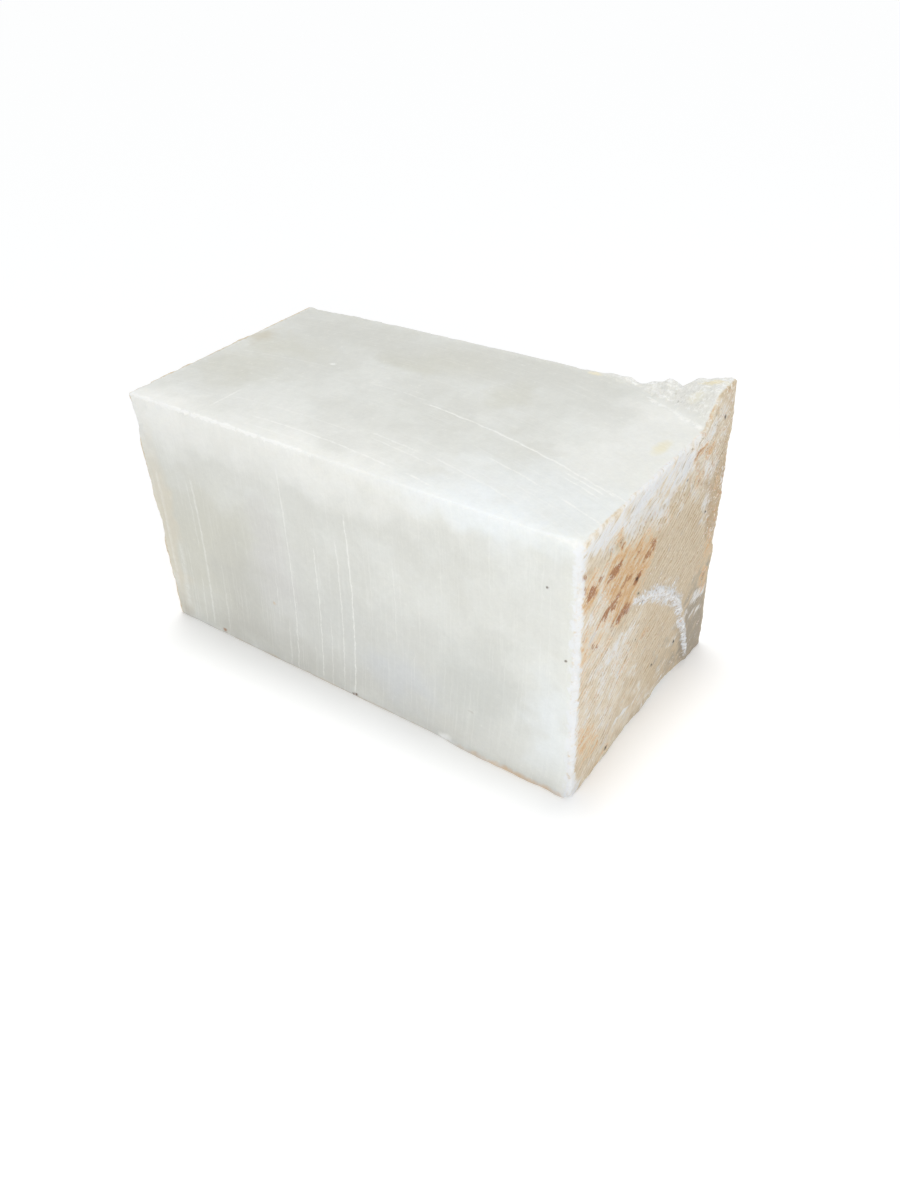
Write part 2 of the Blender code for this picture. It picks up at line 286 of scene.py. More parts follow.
def past_skin_border(y, z):
    """Distance behind the border where the skin of the right end has come off."""
    flat = end_points(y, z, LENGTH)
    border = np.interp(z, *zip(*SKIN_BORDER))
    return y - border + 1.8 * MM * layered_noise(flat, 12 * MM, 15)


def bareness(y, z, start):
    """0 on the skin and 1 where it has come off, over a wider strip where the border runs level."""
    reach = np.interp(z, (0.11, 0.122, 0.13), (4.0, 16.0, 50.0)) * MM
    return ramp(start, reach, past_skin_border(y, z))


def warped(y, z, size, reach, seed):
    """The same places, pushed about by noise, so that a patch gets a natural border."""
    flat = end_points(y, z)
    return y + reach * layered_noise(flat, size, seed), z + reach * layered_noise(flat, size, seed + 5)


def patches(y, z, spots, tilt, soft=0.5):
    """Oval patches, each given by its middle, its two half sizes in mm and its strength."""
    total = np.zeros_like(y)
    for middle_y, middle_z, long, short, strength in spots:
        dy, dz = y - middle_y * MM, z - middle_z * MM
        along = dy * math.cos(tilt) + dz * math.sin(tilt)
        aside = -dy * math.sin(tilt) + dz * math.cos(tilt)
        gap = np.hypot(along / (long * MM), aside / (short * MM))
        total = np.maximum(total, strength * ramp(1.0 + soft, 1.0 - soft, gap))
    return total


def groove_place(y, z, seed):
    """Distance across the saw grooves, which climb towards the back and wander a little."""
    flat = end_points(y, z)
    across = z * math.cos(GROOVE_SLOPE) - y * math.sin(GROOVE_SLOPE)
    return across + 1.1 * MM * noise(flat, 28 * MM, seed) + 0.25 * MM * noise(flat, 9 * MM, seed + 1)


def groove_strength(y, z):
    return 0.16 + 0.84 * patches(y, z, GROOVED, 0.0, 0.55)


def grooves(y, z, seed):
    """Depth of the saw grooves and of the grain of a rough end."""
    flat = end_points(y, z)
    place = groove_place(y, z, seed)
    wave = 0.5 + 0.5 * np.cos(2 * math.pi * place / GROOVE_PITCH)
    fine = 0.5 + 0.5 * np.cos(2 * math.pi * place / FINE_PITCH)
    cut = GROOVE_DEPTH * groove_strength(y, z) * (wave**1.5 + 0.22 * fine)
    return cut - GRAIN * layered_noise(flat, 2.6 * MM, seed + 3)


def crumbs(y, z):
    """1 where the right end is crusted with small crumbs: on its ledge and along its bare border."""
    flat = end_points(y, z, 0.7)
    outside = arc_distance(y, z)
    width = np.interp(z, (0.0, 0.045, 0.056, 0.08, 0.095), (1.6, 2.8, 6.6, 7.0, 4.0)) * MM
    crust = np.exp(-((outside / width) ** 2)) * ramp(0.046, 0.058, y) * ramp(0.003, 0.012, z)
    border = past_skin_border(y, z)
    chain = np.exp(-(((border - 1 * MM) / (4.0 * MM)) ** 2)) * ramp(0.052, 0.075, z)
    chain *= ramp(0.118, 0.1, z) * (0.5 + 0.5 * noise(flat, 7 * MM, 93)).clip(0.0, 1.0)
    behind = 0.34 * ramp(0.0, 5 * MM, border) * ramp(0.045, 0.075, z)
    behind *= ramp(0.1, 0.114, y) * ramp(0.134, 0.12, z)
    edge = 0.5 * ramp(6 * MM, 1.0 * MM, y) * ramp(0.122, 0.1, z)
    foot = 0.55 * ramp(20 * MM, 4 * MM, z) * ramp(0.052, 0.075, y)
    foot *= ramp(0.13, 0.112, y)
    foot *= (0.55 + 0.6 * noise(flat, 9 * MM, 94)).clip(0.0, 1.0)
    return np.maximum.reduce([crust, 0.45 * chain, behind, edge, foot])


def crumb_height(y, z):
    flat = end_points(y, z, 0.7)
    return layered_noise(flat, CRUMB_SIZE, 91, 2)


def right_end_relief(y, z):
    """How far the rough right end stands out from its plane."""
    flat = end_points(y, z, LENGTH)
    bare = bareness(y, z, 0.0)
    relief = SWELL * noise(flat, SWELL_SIZE, 11)
    relief += LUMP * layered_noise(flat, LUMP_SIZE, 12) * (0.4 + 0.6 * bare)
    outside = arc_distance(y, z)
    on_arc = ramp(0.095, 0.07, z) * 0.5 + 0.5
    relief -= ARC_STEP * ramp(1 * MM, -3 * MM, outside) * ramp(0.03, 0.055, y)
    relief += ARC_RIDGE * on_arc * np.exp(-((outside / (2.6 * MM)) ** 2)) * ramp(0.04, 0.06, y)
    relief += CRUMB * crumbs(y, z) * crumb_height(y, z).clip(-0.3, 1.0)
    return relief - SKIN_DEPTH * bare + END_LEVEL - grooves(y, z, 14)


def left_end_relief(y, z):
    """The same kind of rough face on the end that faces away."""
    flat = end_points(y, z)
    relief = 0.9 * SWELL * noise(flat, SWELL_SIZE, 21) + LUMP * layered_noise(flat, LUMP_SIZE, 22)
    slant = y + 0.5 * z + 3 * MM * noise(flat, 20 * MM, 23)
    ledge = ramp(0.112, 0.118, slant) * ramp(0.15, 0.13, z)
    return relief + END_LEVEL - 1.5 * MM * ledge - grooves(DEPTH - y, z, 24)


def burr(x, z):
    """How far the front face's bottom edge stands out."""
    flat = np.stack([x, np.zeros_like(x), np.zeros_like(x)], axis=1)
    uneven = 0.8 + 0.3 * layered_noise(flat, 9 * MM, 33)
    start = ramp(BURR_START - 0.008, BURR_START + 0.012, x)
    return BURR * uneven * start * np.exp(-((z / BURR_HEIGHT) ** 2))


def place_faces(points):
    """Leans, skews and roughens the faces, and leaves the underside flat."""
    x, y, z = points.T
    along, across, up = x / LENGTH, y / DEPTH, z / HEIGHT
    waver = SAWN_WAVER * noise(points, 30 * MM, 31)
    placed = points.copy()
    placed[:, 0] += along * (RIGHT_SKEW * across + right_end_relief(y, z))
    placed[:, 0] += (1.0 - along) * (LEFT_SKEW * across - left_end_relief(y, z))
    placed[:, 1] += across * BACK_LEAN * up * (1.0 - (1.0 - along) ** 2)
    placed[:, 1] -= (1.0 - across) * burr(x, z)
    placed[:, 1] += (2 * across - 1.0) * waver * up
    placed[:, 2] += up * waver
    return placed


def lip_climb(x, y):
    """0 at the crease of the broken lip, 1 at the back edge."""
    crease = np.interp(x, *zip(*CREASE), left=1.0)
    back = DEPTH + BACK_LEAN
    return np.clip((y - crease) / np.maximum(back - crease, 1 * MM), 0.0, 1.0)


def lip_height(x, y):
    """Height of the broken lip above the top plane."""
    ridge = np.interp(x, *zip(*RIDGE), left=0.0)
    climb = lip_climb(x, y)
    shoulder = np.interp(x, (0.24, 0.284), (1.0, 0.55))
    flat = np.stack([x, y, np.zeros_like(x)], axis=1)
    jagged = 0.9 * MM * layered_noise(flat, 6 * MM, 41) * ramp(0.25, 0.9, climb)
    grain = 0.35 * MM * layered_noise(flat, 2.2 * MM, 47) * ramp(0.0, 0.3, climb)
    rise = ridge * ramp(0.0, 1.0, climb / shoulder)
    return rise + (jagged + grain) * ramp(0.203, 0.212, x)


def raise_lip(points):
    """Lifts the top at its back right corner, and draws the faces below up with it."""
    root = HEIGHT - LIP_ROOT
    share = np.clip((points[:, 2] - root) / LIP_ROOT, 0.0, 1.0) ** 2
    raised = points.copy()
    raised[:, 2] += share * lip_height(points[:, 0], points[:, 1])
    return raised


def break_flake(points, broken, middle, facing, length, depth, seed):
    """Scoops a shell-shaped flake off an edge: what it holds moves in, on to the break."""
    facing = np.array(facing) / np.linalg.norm(facing)
    near = np.linalg.norm(points - np.array(middle), axis=1) < 0.75 * length
    held = points[near]
    radius = (length**2 / 4 + depth**2) / (2 * depth)
    centre = np.array(middle) + facing * (radius - depth)
    strength = min(1.0, depth / (2 * MM))
    rough = FLAKE_ROUGHNESS * layered_noise(held, FLAKE_GRAIN, seed)
    rough += 0.3 * FLAKE_ROUGHNESS * noise(held, 0.3 * FLAKE_GRAIN, seed + 9)
    radius = radius + rough * strength
    offset = held - centre
    along = offset @ facing
    aside = np.linalg.norm(offset - along[:, None] * facing, axis=1)
    surface = -np.sqrt(np.maximum(radius**2 - aside**2, 0.0))
    inside = (aside < radius) & (along < 0.0)
    push = np.where(inside, np.maximum(along - surface, 0.0), 0.0)
    points[near] = held - push[:, None] * facing
    broken[near] = np.maximum(broken[near], np.clip(push / (0.35 * MM), 0.0, 1.0))


def chips(start, end, facing, count, length, depth, seed):
    """Small flakes of varied size, scattered along an edge."""
    chance = random.Random(seed)
    start, end = np.array(start), np.array(end)
    for _ in range(count):
        middle = start + (end - start) * chance.random()
        turn = np.array([chance.uniform(-0.25, 0.25) for _ in range(3)])
        size = chance.uniform(0.4, 1.0)
        yield middle, np.array(facing) + turn, size * length, size * depth * chance.uniform(0.7, 1.0)


def shape(points):
    """The block's surface, and how far each point of it is a fresh break."""
    rounded = round_arrises(points)
    worn = np.linalg.norm(rounded - points, axis=1)
    points = raise_lip(place_faces(rounded))
    broken = np.clip(worn / (0.9 * MM) - 0.35, 0.0, 1.0)
    for seed, flake in enumerate(FLAKES):
        break_flake(points, broken, *flake, 60 + seed)
    for row, edge in enumerate(CHIPPED_EDGES):
        for seed, chip in enumerate(chips(*edge, row)):
            break_flake(points, broken, *chip, 100 + 40 * row + seed)
    points[:, 2] = np.maximum(points[:, 2], 0.0)
    return points, broken


def link(piece):
    bpy.context.scene.collection.objects.link(piece)
    return piece


def thinned(mesh, triangles):
    """The mesh with only as many faces as its relief needs."""
    piece = link(bpy.data.objects.new("sawn_alabaster", mesh))
    thin = piece.modifiers.new("Thin", "DECIMATE")
    thin.ratio = triangles / (2 * len(mesh.polygons))
    thin.use_collapse_triangulate = True
    graph = bpy.context.evaluated_depsgraph_get()
    kept = bpy.data.meshes.new_from_object(piece.evaluated_get(graph))
    piece.modifiers.remove(thin)
    piece.data = kept
    kept.name = "sawn_alabaster"
    return piece


def points_of(mesh):
    flat = np.empty(3 * len(mesh.vertices))
    mesh.vertices.foreach_get("co", flat)
    return flat.reshape(-1, 3)


def paint(mesh, name, values):
    """Stores one number for each point of the mesh, for the material to read."""
    layer = mesh.attributes.get(name) or mesh.attributes.new(name, "FLOAT", "POINT")
    layer.data.foreach_set("value", np.ascontiguousarray(values, dtype=np.float32))


# Patches of the right end: middle as y and z, half sizes along and across, all in mm, strength
RUST = (
    (9, 127, 9, 9, 0.74), (10, 120, 10, 7, 0.95), (32, 122, 15, 7, 0.95), (37, 133, 4, 8, 0.78),
    (24, 129, 8, 4, 0.5), (44, 115, 24, 11, 1), (57, 108, 15, 12, 1), (45, 98, 18, 12, 1),
    (66, 114, 7, 10, 1), (30, 101, 13, 6, 0.8), (28, 91, 12, 6, 0.55), (7, 98, 8, 6, 0.62),
    (12, 89, 12, 5, 0.66), (20, 109, 12, 6, 0.45), (88, 124, 16, 8, 0.38), (60, 134, 18, 6, 0.2),
    (117, 142, 9, 3, 1), (128, 139, 6, 4, 1), (117, 126, 6, 5, 0.7), (122, 128, 4, 3, 0.6),
    (143, 52, 7, 10, 0.75), (145, 72, 7, 12, 0.8), (144, 112, 5, 16, 0.6), (147, 96, 5, 12, 0.5),
    (136, 62, 8, 8, 0.35), (13, 31, 10, 12, 0.8), (20, 20, 12, 6, 0.7), (7, 72, 6, 18, 0.48),
    (30, 58, 30, 14, 0.34), (50, 48, 20, 10, 0.42), (20, 79, 22, 6, 0.42), (52, 79, 12, 6, 0.4),
    (52, 62, 12, 8, 0.38), (72, 57, 12, 4, 0.45), (60, 30, 14, 8, 0.25), (28, 4, 26, 2.5, 0.6),
)
DARK_SPOTS = (
    (32, 120.8, 7.5, 2.8, 1), (10, 122, 5, 3.2, 0.9), (18, 123.6, 3, 2, 0.7),
    (3.6, 133.6, 2.6, 1.8, 0.8), (3, 127.5, 2, 2.4, 0.7), (38, 133, 2, 4, 0.6),
    (28, 101.6, 9, 3, 0.85), (36, 104, 5, 2, 0.7), (43, 90.5, 8, 3.6, 1),
    (49, 88, 3.6, 3, 1), (31.4, 89, 3, 2.4, 0.75), (56, 102.8, 3.6, 2.4, 1),
    (70, 114.5, 2.4, 4.6, 0.75), (65.6, 110, 4.4, 2.2, 0.75), (45, 108, 7, 1.8, 0.5),
    (52, 118, 5, 1.5, 0.4), (13.6, 90, 1.8, 1.6, 0.7), (16, 87, 2.6, 1.2, 0.6),
    (5, 99.6, 3, 1.2, 0.5), (114, 142.6, 6, 1.6, 0.7), (126, 140, 4, 1.6, 0.6),
    (117, 125, 2.6, 1.8, 0.55), (142.5, 52, 2.4, 3.2, 0.5), (72, 56, 8, 1, 0.35),
)
CHALK = (
    (20, 146, 26, 7, 0.95), (68, 148, 46, 9, 0.94), (98, 143, 17, 9, 1), (84, 133, 14, 5, 0.75),
    (60, 141, 16, 5, 0.5), (130, 129, 12, 10, 0.62), (120, 148, 22, 7, 0.8), (132, 153, 18, 9, 0.4),
    (131, 109, 7, 7, 0.75), (131, 96, 6, 7, 0.5), (33, 71, 13, 7, 0.75), (52, 69, 8, 4, 0.6),
    (14, 60, 16, 10, 0.45), (34, 56, 12, 6, 0.4), (56, 42, 8, 10, 0.35), (40, 34, 10, 6, 0.35),
    (55, 15, 13, 2, 0.9), (66.5, 33, 1.8, 17, 0.55), (139, 42, 12, 5, 0.8), (136, 30, 8, 3, 0.6),
    (96, 15, 16, 4, 0.5), (112, 26, 9, 3, 0.6), (122, 36, 7, 3, 0.5), (82, 7, 14, 2.5, 0.6),
    (72, 22, 3, 9, 0.45), (3, 50, 4, 8, 0.8), (3, 8, 6, 8, 1), (3, 139, 6, 6, 0.6),
    (8, 110, 9, 9, 0.45),
)
PALE = (
    (26, 50, 42, 36, 0.85), (16, 104, 22, 34, 1), (70, 143, 76, 16, 1), (64, 130, 22, 10, 0.7),
    (60, 76, 20, 10, 0.6), (122, 128, 18, 14, 0.8), (94, 124, 18, 8, 0.5), (54, 20, 30, 12, 0.5),
    (46, 8, 50, 9, 0.7), (134, 150, 20, 12, 0.72),
)
# Grey patches low at the back of the right end: the stone's grey tone, darkened past it as painted shade
# towards the bottom back
GREY = (
    (138, 22, 20, 30, 1), (146, 8, 16, 16, 1), (118, 10, 18, 12, 0.5), (132, 46, 16, 14, 0.55),
    (104, 24, 16, 9, 0.3), (148, 30, 6, 40, 0.7),
)
# Pits and dark specks: middle and radius in mm
PITS = (
    (44.5, 139.5, 1.1), (142.5, 150.5, 1.5), (36, 6, 1.9), (55.5, 102.6, 1.5),
    (113.5, 24.5, 1.5), (63.8, 59.3, 0.9), (86.5, 26.5, 1.1), (65.5, 82.5, 1.1), (58, 92.5, 0.9),
    (131, 101, 1), (46, 88.5, 1), (103, 133, 0.8),
)


def paint_ends(mesh, shift):
    """Stores what the material needs to know of the rough ends at each point of the mesh."""
    x, y, z = (points_of(mesh) + shift).T
    near = warped(y, z, 5 * MM, 1.1 * MM, 82)
    wide = warped(y, z, 12 * MM, 3.0 * MM, 83)
    on_left = x < LENGTH / 2
    place = np.where(on_left, groove_place(DEPTH - y, z, 24), groove_place(y, z, 14))
    paint(mesh, "across", place / MM)
    paint(mesh, "groove", groove_strength(y, z))
    for name, spot, table, tilt, soft in (
        ("rust", near, RUST, 0.25, 0.5),
        ("dark_spots", near, DARK_SPOTS, 0.08, 0.5),
        ("chalk", wide, CHALK, 0.12, 0.6),
        ("pale", wide, PALE, 0.0, 0.5),
        ("grey", wide, GREY, 0.0, 0.6),
    ):
        paint(mesh, name, patches(*spot, table, tilt, soft))
    paint(mesh, "crumbs", crumbs(y, z))
    paint(mesh, "crumb_height", crumb_height(y, z))
    bare = bareness(y, z, -2 * MM)
    paint(mesh, "behind", bare * ramp(0.096, 0.112, y) * ramp(0.134, 0.118, z))
    paint(mesh, "crumbly", bare * ramp(0.088, 0.108, y) * ramp(0.03, 0.06, z))
    pits = np.zeros_like(y)
    for pit_y, pit_z, radius in PITS:
        gap = np.hypot(y - pit_y * MM, z - pit_z * MM)
        pits = np.maximum(pits, ramp(radius * MM, 0.3 * radius * MM, gap))
    paint(mesh, "pits", pits)


# UV map: the side of its square, the height of a chart's row and the gap between charts, in metres
MAP_SIDE = 0.7
MAP_ROW = 0.172
MAP_GAP = 0.004


def map_sides(mesh):
    """One flat chart for each side of the block, laid out in a square, the ends at twice the scale."""
    points = points_of(mesh)
    low, high = points.min(axis=0), points.max(axis=0)
    half = (high - low) / 2
    middle = (high + low) / 2
    mesh.calc_loop_triangles()
    corners = np.empty(len(mesh.loops), dtype=np.int64)
    mesh.loops.foreach_get("vertex_index", corners)
    faces = corners.reshape(-1, 3)
    out = (points[faces].mean(axis=1) - middle) / half
    side = np.abs(out).argmax(axis=1)
    sign = np.take_along_axis(out, side[:, None], axis=1)[:, 0] > 0
    places = {
        (1, False): ((0, 2), (MAP_GAP, MAP_GAP), 1.0),
        (1, True): ((0, 2), (MAP_GAP, MAP_GAP + MAP_ROW), 1.0),
        (2, True): ((0, 1), (MAP_GAP, MAP_GAP + 2 * MAP_ROW), 1.0),
        (2, False): ((0, 1), (MAP_GAP, MAP_GAP + 3 * MAP_ROW), 1.0),
        (0, True): ((1, 2), (0.31, MAP_GAP), 2.0),
        (0, False): ((1, 2), (0.31, 0.35), 2.0),
    }
    spots = np.zeros((len(faces), 3, 2))
    for (axis, upper), (axes, origin, scale) in places.items():
        mine = (side == axis) & (sign == upper)
        flat = points[faces[mine]][:, :, list(axes)] - low[list(axes)]
        spots[mine] = (flat * scale + np.array(origin)) / MAP_SIDE
    layer = mesh.uv_layers.new(name="OFBake")
    layer.data.foreach_set("uv", spots.reshape(-1).astype(np.float32))


class Tree:
    """Short calls for the nodes of one material or group, and the noises that its layers share."""

    def __init__(self, tree):
        self.tree = tree
        self.noises = {}
        self.painted = {}

    def put(self, socket, value):
        if isinstance(value, bpy.types.NodeSocket):
            self.tree.links.new(value, socket)
        else:
            socket.default_value = value

    def node(self, kind, inputs=(), **settings):
        node = self.tree.nodes.new("ShaderNode" + kind)
        for name, value in settings.items():
            setattr(node, name, value)
        for name, value in dict(inputs).items():
            self.put(node.inputs[name], value)
        return node

    def math(self, operation, *values):
        return self.node("Math", enumerate(values), operation=operation).outputs[0]

    def fold(self, operation, first, *others):
        """One operation over several values, from left to right."""
        for other in others:
            first = self.math(operation, first, other)
        return first

    plus = partialmethod(fold, "ADD")
    minus = partialmethod(fold, "SUBTRACT")
    times = partialmethod(fold, "MULTIPLY")
    most = partialmethod(fold, "MAXIMUM")
    least = partialmethod(fold, "MINIMUM")

    def vector(self, operation, *values):
        node = self.node("VectorMath", enumerate(values), operation=operation)
        return node.outputs[1 if operation == "LENGTH" else 0]

    def point(self, *values):
        return self.node("CombineXYZ", enumerate(values)).outputs[0]

    def axes(self, place):
        return tuple(self.node("SeparateXYZ", {0: place}).outputs)

    def mapped(self, value, low, high, bottom=0.0, top=1.0, smooth=True):
        inputs = {"Value": value, "From Min": low, "From Max": high, "To Min": bottom, "To Max": top}
        kind = "SMOOTHSTEP" if smooth else "LINEAR"
        return self.node("MapRange", inputs, interpolation_type=kind).outputs[0]

    def mix(self, factor, first, second, blend="MIX"):
        inputs = {0: factor, 6: first, 7: second}
        node = self.node("Mix", inputs, data_type="RGBA", blend_type=blend, clamp_factor=True)
        return node.outputs[2]

    def noise(self, place, scale, detail, roughness=0.5, output="Fac"):
        inputs = {"Vector": place, "Scale": scale, "Detail": detail, "Roughness": roughness}
        return self.node("TexNoise", inputs).outputs[output]

    def attribute(self, name):
        """A value painted on the mesh, read by one node however often it is asked for."""
        if name not in self.painted:
            self.painted[name] = self.node("Attribute", attribute_name=name).outputs["Fac"]
        return self.painted[name]

    def group(self, tree, *values):
        return self.node("Group", enumerate(values), node_tree=tree).outputs[0]

    def roughened(self, field, **weights):
        """The field with shares of the shared noises added."""
        for name, weight in weights.items():
            field = self.math("MULTIPLY_ADD", self.noises[name], weight, field)
        return field

    def layered(self, colour, *layers):
        """Lays colours over one another, each where its field, roughened by noises, passes low to high."""
        for top, field, low, high, strength, weights in layers:
            field = self.attribute(field) if isinstance(field, str) else field
            cover = self.mapped(self.roughened(field, **weights), low, high)
            colour = self.mix(self.times(cover, strength), colour, top)
        return colour

    def shaded(self, colour, level):
        """The colour made lighter or darker by a level about 1."""
        grey = self.node("CombineColor", enumerate([level] * 3)).outputs[0]
        return self.mix(1.0, colour, grey, "MULTIPLY")


def group_of(name, inputs, output, kind):
    tree = bpy.data.node_groups.new(name, "ShaderNodeTree")
    for socket, socket_kind in inputs.items():
        tree.interface.new_socket(socket, in_out="INPUT", socket_type=socket_kind)
    tree.interface.new_socket(output, in_out="OUTPUT", socket_type=kind)
    ins = tree.nodes.new("NodeGroupInput")
    outs = tree.nodes.new("NodeGroupOutput")
    return Tree(tree), ins.outputs, outs.inputs[output]


NUMBER, POINT, COLOUR = "NodeSocketFloat", "NodeSocketVector", "NodeSocketColor"
# Length over which a line fades at each end, in mm
FADE = 7.0


def line_group():
    """A saw line or scratch: thin across, and faded at both ends."""
    inputs = ("Across", "Along", "Place", "Start", "End", "Width", "Strength")
    tree, given, result = group_of("Saw line", dict.fromkeys(inputs, NUMBER), "Mask", NUMBER)
    gap = tree.math("ABSOLUTE", tree.minus(given["Across"], given["Place"]))
    thin = tree.mapped(gap, given["Width"], 0.0)
    rise = tree.mapped(given["Along"], given["Start"], tree.plus(given["Start"], FADE))
    fall = tree.mapped(given["Along"], given["End"], tree.minus(given["End"], FADE))
    tree.put(result, tree.times(thin, tree.times(rise, fall), given["Strength"]))
    return tree.tree


def tint_group():
    """A soft cloud of another colour, oval, about a place in the stone."""
    inputs = {"Colour": COLOUR, "Point": POINT, "Middle": POINT, "Size": POINT}
    inputs.update({"Tint": COLOUR, "Strength": NUMBER})
    tree, given, result = group_of("Cloud of colour", inputs, "Colour", COLOUR)
    offset = tree.vector("SUBTRACT", given["Point"], given["Middle"])
    gap = tree.vector("LENGTH", tree.vector("DIVIDE", offset, given["Size"]))
    share = tree.times(tree.mapped(gap, 1.25, 0.25), given["Strength"])
    tree.put(result, tree.mix(share, given["Colour"], given["Tint"]))
    return tree.tree


# Colours of the stone, some also used for painted shade and painted glow
MILK = srgb(227, 228, 223)
HAZE = srgb(214, 214, 207)
OLIVE = srgb(206, 204, 188)
SMOKE = srgb(197, 196, 189)
FROST = srgb(238, 243, 246)
FRESH = srgb(247, 247, 243)
CREAM = srgb(231, 219, 198)
TAN = srgb(210, 192, 164)
DEEP_TAN = srgb(190, 164, 128)
CHALK_WHITE = srgb(237, 236, 233)
BLUISH = srgb(228, 232, 238)
ASH = srgb(158, 149, 136)
APRICOT = srgb(228, 198, 157)
ORANGE = srgb(206, 161, 113)
BROWN = srgb(168, 116, 76)
UMBER = srgb(108, 78, 60)
SOOT = srgb(48, 40, 34)
HONEY = srgb(234, 226, 194)
IVORY = srgb(232, 231, 225)
LIP_CRACK_SHADE = srgb(198, 192, 180)
CHALK_GROOVE_SHADE = srgb(198, 192, 182)
TAUPE = srgb(176, 160, 140)
SNOW = srgb(238, 238, 235)
ICE = srgb(231, 233, 235)

# Clouds of colour in the sawn faces: middle and half sizes in mm, colour, strength. Some are painted
# light, as marked below: painted shade at the bottom of the front face, painted glow near its edges
CLOUDS = (
    ((50, 0, 58), (46, 40, 62), OLIVE, 0.55), ((66, 0, 40), (30, 26, 42), SMOKE, 0.5),
    ((14, 0, 60), (20, 26, 70), OLIVE, 0.3), ((5, 0, 66), (12, 14, 74), srgb(222, 212, 190), 0.5),
    # Painted shade: the two SMOKE clouds on the next line darken the bottom of the front face, as shade
    # near the floor, over a little of the stone's own darker tone
    ((95, 0, 14), (80, 18, 20), SMOKE, 0.6), ((190, 0, 14), (70, 18, 18), SMOKE, 0.45),
    ((150, 0, 46), (110, 24, 40), srgb(204, 205, 201), 0.45),
    ((180, 0, 30), (34, 16, 22), srgb(206, 209, 212), 0.5),
    ((232, 0, 48), (38, 20, 34), srgb(202, 204, 199), 0.55),
    ((95, 0, 72), (20, 16, 46), srgb(212, 210, 208), 0.45),
    # Painted glow of light through the translucent stone near its edges: the FROST cloud at the right of
    # the front face, partly also the stone's own bluish tone, and on the next two lines the FROST and
    # FRESH clouds along the front's top edge and at its top left
    ((272, 0, 42), (16, 20, 40), FROST, 0.55), ((262, 0, 120), (30, 24, 30), MILK, 0.5),
    ((228, 0, 152), (66, 16, 14), FROST, 0.6), ((110, 0, 144), (130, 18, 20), FRESH, 0.52),
    ((16, 0, 144), (44, 18, 28), FRESH, 0.55), ((283, 0, 6), (9, 12, 12), FRESH, 0.6),
    ((3, 0, 6), (10, 10, 16), srgb(186, 180, 166), 0.5), ((30, 92, 152), (40, 18, 30), OLIVE, 0.4),
    ((28, 58, 152), (36, 26, 30), OLIVE, 0.35),
    ((8, 96, 152), (10, 12, 30), srgb(206, 197, 176), 0.5),
    ((114, 114, 152), (34, 14, 30), OLIVE, 0.5),
    ((136, 130, 152), (30, 14, 30), srgb(207, 203, 180), 0.4),
    ((180, 108, 152), (12, 24, 30), OLIVE, 0.35), ((60, 128, 152), (70, 28, 30), HAZE, 0.85),
    # The FRESH and FROST clouds of the top, on this line and the next, make it paler towards its front
    # edge and its right: partly the stone's paler tone, partly painted glow through the edges
    ((165, 136, 152), (80, 30, 30), HAZE, 0.8), ((266, 84, 152), (40, 60, 30), FRESH, 0.42),
    ((250, 26, 152), (70, 30, 30), FROST, 0.4), ((120, 24, 152), (130, 24, 30), FRESH, 0.28),
    ((264, 128, 156), (26, 20, 20), FRESH, 0.4),
)
# Small spots of colour, with borders of their own: middle and half sizes in mm, colour, strength
SPOTS = (
    ((273.6, 93.8, 152), (4, 9.5, 10), HONEY, 0.62),
    ((275, 148, 162), (9, 3.2, 9), srgb(238, 225, 186), 0.7),
    ((271, 138, 158), (6, 4, 9), srgb(244, 240, 220), 0.5),
    ((206, 152, 152), (5, 2.6, 9), srgb(238, 228, 200), 0.8),
    ((73, 87.6, 152), (2, 1.4, 5), FRESH, 0.9), ((261, 138, 156), (1, 1, 9), SMOKE, 0.9),
    ((267.4, 0, 125.4), (0.9, 4, 1.1), srgb(120, 110, 100), 0.9),
    ((278.4, 0, 87.4), (0.9, 4, 1.1), srgb(120, 108, 96), 0.9),
    ((89.4, 0, 44), (1.4, 4, 1.4), TAN, 0.7), ((172, 0, 97), (2.6, 4, 2.2), MILK, 0.6),
    ((225, 0, 29), (2.2, 4, 0.7), SMOKE, 0.8), ((144, 0, 2.2), (2, 6, 1.3), UMBER, 1),
    ((40, 0, 3), (2.4, 6, 1.6), BROWN, 0.8), ((207, 0, 2.5), (5, 6, 2.6), FRESH, 0.9),
    ((252, 0, 0), (42, 4, 2.6), srgb(216, 184, 146), 0.9),
    ((120, 0, 0), (120, 4, 1.6), srgb(206, 190, 164), 0.5),
)

# Saw lines of the front face: place along it, bottom and top, half width, strength
FRONT_LINES = (
    (108, -6, 138, 0.75, 0.66), (127, 0, 98, 0.65, 0.75), (143, -6, 108, 0.65, 0.65),
    (151, -6, 126, 0.75, 0.95), (134.4, -4, 54, 0.55, 0.45), (102.2, -4, 38, 0.6, 0.4),
    (95, 28, 66, 0.55, 0.3), (180, 52, 108, 0.6, 0.35), (37.6, 2, 112, 1.3, 0.6),
    (33.4, 60, 108, 0.8, 0.4), (31, 0, 42, 0.7, 0.6), (51, 2, 38, 1.2, 0.35),
    (16, 8, 62, 3, 0.42), (8, 20, 110, 1.6, 0.35), (23, 0, 60, 0.9, 0.25),
    (122, -4, 30, 0.5, 0.3), (163, 0, 60, 0.5, 0.18), (211, 30, 100, 0.5, 0.14),
)
